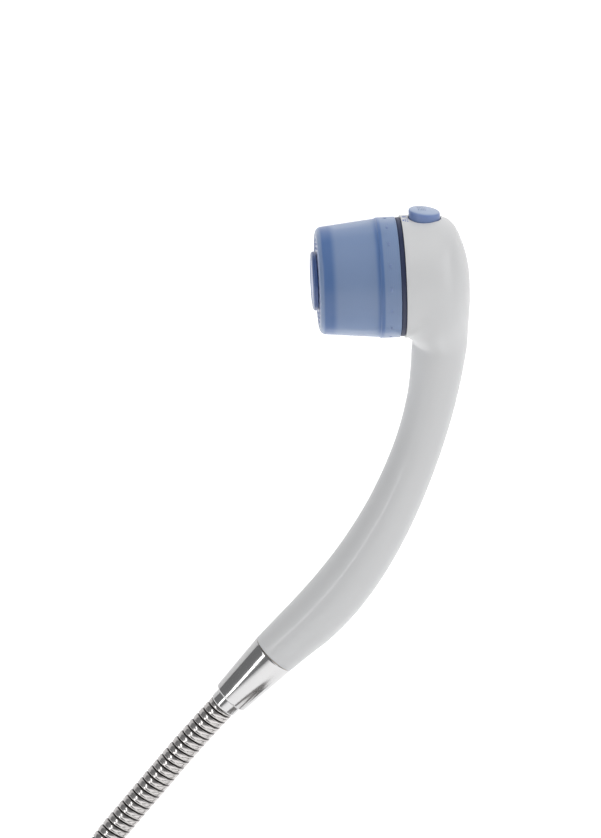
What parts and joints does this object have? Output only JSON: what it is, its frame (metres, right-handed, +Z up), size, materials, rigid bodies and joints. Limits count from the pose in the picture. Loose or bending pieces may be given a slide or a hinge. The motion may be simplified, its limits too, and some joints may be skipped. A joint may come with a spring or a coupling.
{
  "type": "handheld shower head",
  "caption": "Hand-held filter shower head with a curved handle, a screw-on see-through cup, a spray dial, a push button and a flexible metal hose.",
  "frame": {"origin": "on the cone nut's axis, halfway along the cone that sits in a wall bracket", "axes": "+Z up, the spray faces -X, the object is symmetric about the XZ plane except for the coiled hose"},
  "size_m": [0.2271, 0.2049, 0.429],
  "materials": {
    "body_white": "moulded glossy white plastic",
    "cup_blue": "see-through blue plastic",
    "face_lilac": "smooth light blue plastic",
    "dial_navy": "deep blue plastic, glossy",
    "button_blue": "blue plastic, satin",
    "seal_navy": "soft dark rubber",
    "ring_black": "black rubber",
    "valve_grey": "unpainted moulded plastic",
    "spool_white": "white acetal",
    "tube_plastic": "extruded plastic",
    "brass": "turned brass",
    "steel": "plain steel",
    "spring_steel": "drawn spring wire",
    "chrome": "polished chrome",
    "hose_steel": "bright interlocked steel strip",
    "media_cream": "packed filter fibre",
    "screen_white": "woven plastic screen",
    "cartridge_plastic": "clear frosted plastic"
  },
  "bodies": {
    "handle": {"handle_body": "body_white", "mount_ring": "valve_grey", "button_guide": "valve_grey", "water_tube": "tube_plastic", "thread_adapter": "brass", "adapter_o_ring": "ring_black", "valve_body": "valve_grey", "valve_screws": "steel", "neck_seal": "seal_navy", "spool_cap": "spool_white", "button_spring": "spring_steel", "cartridge_gasket": "ring_black", "hose_washer": "ring_black", "hose_insert": "brass", "hose_ferrule": "chrome", "hose_run": "hose_steel", "hose_coil": "hose_steel", "hose_tail": "hose_steel", "wall_ferrule": "chrome", "wall_insert": "brass", "wall_washer": "ring_black"},
    "button": {"selector_button": "button_blue", "selector_spool": "spool_white", "spool_o_rings": "ring_black"},
    "cartridge": {"cartridge_case": "cartridge_plastic", "rear_screen": "screen_white", "filter_media": "media_cream", "front_screen": "screen_white", "cartridge_cap": "cartridge_plastic"},
    "cup": {"spray_cup": "cup_blue", "spray_plate": "face_lilac"},
    "dial": {"centre_dial": "dial_navy", "dial_o_ring": "ring_black", "dial_screw": "steel"},
    "cone_nut": {"cone_nut": "chrome"},
    "wall_nut": {"wall_nut": "chrome"}
  },
  "joints": [
    {"name": "button_press", "type": "slide", "parent": "handle", "child": "button", "axis": [0, 0, -1], "range_m": [0, 0.003], "stiffness_N_per_m": 500, "springref_m": -0.003, "deforming": ["button_spring"]},
    {"name": "cup_travel", "type": "slide", "parent": "handle", "child": "cartridge", "axis": [-1, 0, 0], "range_m": [0, 0.00451]},
    {"name": "cup_turn", "type": "hinge", "parent": "cartridge", "child": "cup", "pos_m": [0.08, 0, 0.2045], "axis": [-1, 0, 0], "range_deg": [0, 540]},
    {"name": "dial_turn", "type": "hinge", "parent": "cup", "child": "dial", "pos_m": [0.08, 0, 0.2045], "axis": [-1, 0, 0], "range_deg": [0, 60]},
    {"name": "cone_nut_turn", "type": "hinge", "parent": "handle", "child": "cone_nut", "pos_m": [0, 0, 0], "axis": [0.7071, 0, 0.7071], "continuous": true},
    {"name": "wall_nut_turn", "type": "hinge", "parent": "handle", "child": "wall_nut", "pos_m": [0.0795, 0.0115, -0.1792], "axis": [0, 1, 0], "continuous": true}
  ],
  "couplings": [
    {"joint": "cup_travel", "follows": "cup_turn", "m_per_rad": 0.00047746}
  ]
}
